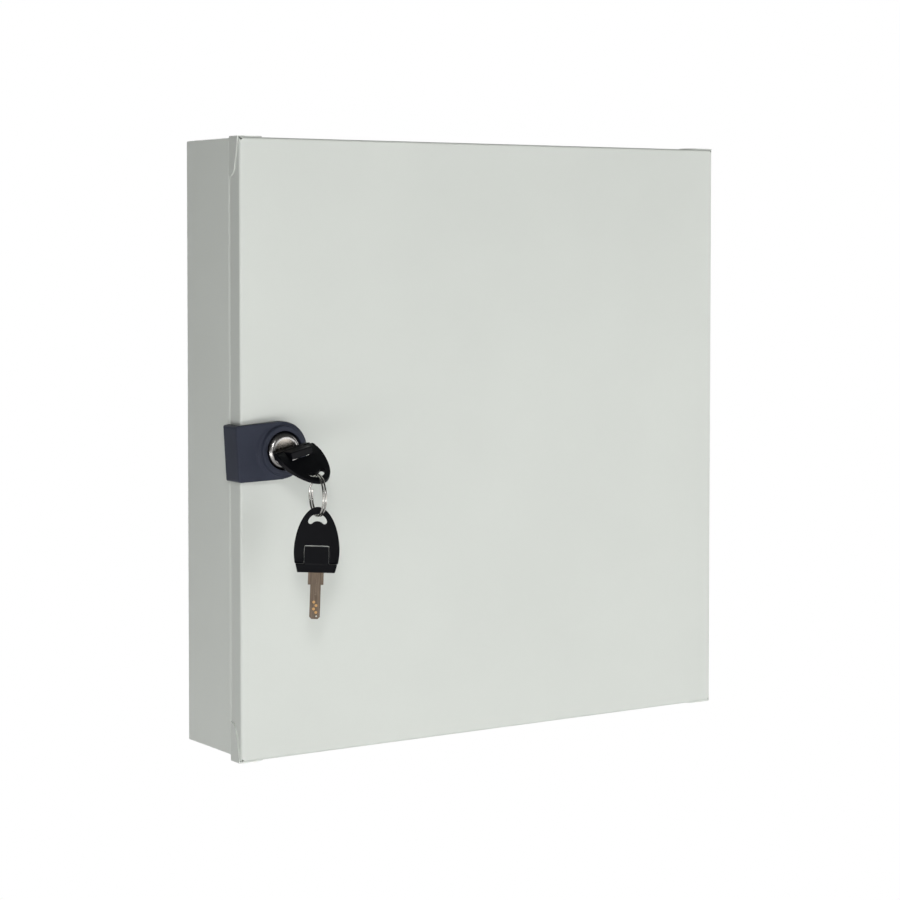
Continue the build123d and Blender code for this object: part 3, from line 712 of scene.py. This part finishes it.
def make_keys(frames, plastic):
    """The moulded parts of both keys, with the soft edges that the photograph shows."""
    grips = {
        "key_bow": ("bow", NOTCH_TOP_WORN, True, *frames["grip"]),
        "spare_key_bow": ("spare_bow", NOTCH_TOP, False, *frames["spare"]),
    }
    for node, (body, *shape) in grips.items():
        add_piece(node + "_moulded", grip_mesh(*shape), body, "key_plastic", plastic, node)
    for node, body in (("key_base", "key"), ("spare_key_base", "spare_key")):
        mesh = soft_copy(node, BASE_VOXEL, BASE_PASSES, BASE_KEEP)
        add_piece(node + "_moulded", mesh, body, "key_plastic", plastic, node)


def make_housing(plastic):
    """The lock's plastic housing with its edges and corners rounded off."""
    mesh = soft_copy("lock_housing", HOUSING_VOXEL, HOUSING_PASSES, HOUSING_KEEP)
    add_piece("lock_housing_moulded", mesh, "door", "housing", plastic, "lock_housing")


def lathe(profile, centre, turns):
    """A closed mesh turned about a line along Y through the centre, from points of radius and Y."""
    points = []
    for turn in range(turns):
        a = 2 * math.pi * turn / turns
        for radius, y in profile:
            points.append((centre.x + radius * math.cos(a), y, centre.z + radius * math.sin(a)))
    return closed_grid(points, len(profile))


def make_cylinder(material):
    """The lock's barrel, flat on two sides, and its smooth dome, which fills the housing's seat."""
    low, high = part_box("lock_cylinder")
    centre = (low + high) / 2
    face, rear = low.y, high.y
    seat = face + DOME_DEPTH
    plug_seat = face + PLUG_HEAD_DEPTH
    profile = [(PLUG_BORE, plug_seat), (PLUG_HEAD_BORE, plug_seat), (PLUG_HEAD_BORE, face)]
    for step in range(DOME_STEPS + 1):
        a = math.pi / 2 * step / DOME_STEPS
        radius = DOME_FACE_RADIUS + (DOME_RADIUS - DOME_FACE_RADIUS) * math.sin(a)
        profile.append((radius, face + DOME_RISE * (1 - math.cos(a))))
    profile += [(DOME_RADIUS, seat), (BARREL_RADIUS, seat), (BARREL_RADIUS, rear), (PLUG_BORE, rear)]
    mesh = lathe(profile, centre, LATHE_TURNS)
    for vertex in mesh.vertices:
        across = vertex.co.x - centre.x
        on_barrel = math.hypot(across, vertex.co.z - centre.z) < BARREL_RADIUS + BARREL_EDGE
        if vertex.co.y > seat - BARREL_EDGE and on_barrel:
            vertex.co.x = centre.x + max(-BARREL_HALF_FLAT, min(BARREL_HALF_FLAT, across))
    smooth_below(mesh, DOME_SHARP)
    add_piece("lock_cylinder_plated", mesh, "door", "chrome", material, "lock_cylinder")


def make_mouth_bend(material):
    """The turned-in edge of the case's mouth, which fills the step between its side and the door's flange."""
    low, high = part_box("case")
    shares = [step / BEND_STEPS for step in range(BEND_STEPS + 1)]
    profile = [(low.y - BEND_REACH * share, BEND_INSET * share ** BEND_CURVE) for share in shares]
    profile += [(low.y - BEND_REACH, BEND_WALL), (low.y, BEND_WALL)]
    points = []
    for y, inset in profile:
        left, right, bottom, top = low.x + inset, high.x - inset, low.z + inset, high.z - inset
        corners = [(left, bottom), (right, bottom), (right, top), (left, top)]
        points += [(x, y, z) for x, z in corners]
    mesh = closed_grid(points, len(corners))
    add_piece("case_mouth_bend", mesh, "case", "case_sheet", material)


def light_scene():
    """The softboxes, each turned to the middle of the cabinet."""
    for name, (place, size, power) in LIGHTS.items():
        data = bpy.data.lights.new(name, "AREA")
        data.shape = "RECTANGLE"
        data.size, data.size_y = size
        data.energy = power
        light = placed(name, data)
        light.location = place
        light.rotation_mode = "QUATERNION"
        light.rotation_quaternion = (Vector(LIGHT_TARGET) - Vector(place)).to_track_quat("-Z", "Y")


def make_world():
    """White where the camera looks, and a plain grey light on everything else."""
    world = bpy.data.worlds.new("studio")
    world.use_nodes = True
    bpy.context.scene.world = world
    sky = Wiring(world.node_tree)
    sky.tree.nodes.clear()
    soft = sky.emitted("ShaderNodeBackground", WORLD_STRENGTH)
    white = sky.emitted("ShaderNodeBackground", 1.0)
    share = sky.ray_share("Is Camera Ray", "Is Transmission Ray")
    out = sky.add("ShaderNodeOutputWorld")
    sky.link(sky.blended(share, soft, white), out.inputs["Surface"])


def floor_material():
    """Pale grey that takes the shadow and runs out to white for the camera and for reflections."""
    shader = Shader("floor")
    shader.set(Base_Color=FLOOR_GREY, Roughness=FLOOR_ROUGHNESS)
    white = shader.emitted("ShaderNodeEmission", 1.0)
    away = shader.vector("LENGTH", shader.place, output="Value")
    fade = shader.span(away, FLOOR_WHITE_SHARE, 1.0, *FLOOR_FADE)
    seen = shader.ray_share("Is Camera Ray", "Is Glossy Ray", "Is Transmission Ray")
    blend = shader.blended(shader.maths("MULTIPLY", fade, seen), shader.surface.outputs["BSDF"], white)
    shader.link(blend, shader.tree.nodes["Material Output"].inputs["Surface"])
    return shader.material


def make_floor():
    """A large floor below the cabinet."""
    lowest = cad_box[0].z - FLOOR_DROP
    corners = [(FLOOR_HALF * x, FLOOR_HALF * y, lowest) for x, y in ((-1, -1), (1, -1), (1, 1), (-1, 1))]
    mesh = bpy.data.meshes.new("floor")
    mesh.from_pydata(corners, [], [(0, 1, 2, 3)])
    mesh.materials.append(floor_material())
    placed("floor", mesh)


make_camera()
key_places = key_frames()
finishes = make_materials(key_places)
dress_nodes(finishes)
make_keys(key_places, finishes["key_plastic"])
make_housing(finishes["housing"])
make_cylinder(finishes["dome"])
make_mouth_bend(finishes["case"])
light_scene()
make_world()
make_floor()
bpy.context.scene.view_settings.view_transform = "Standard"
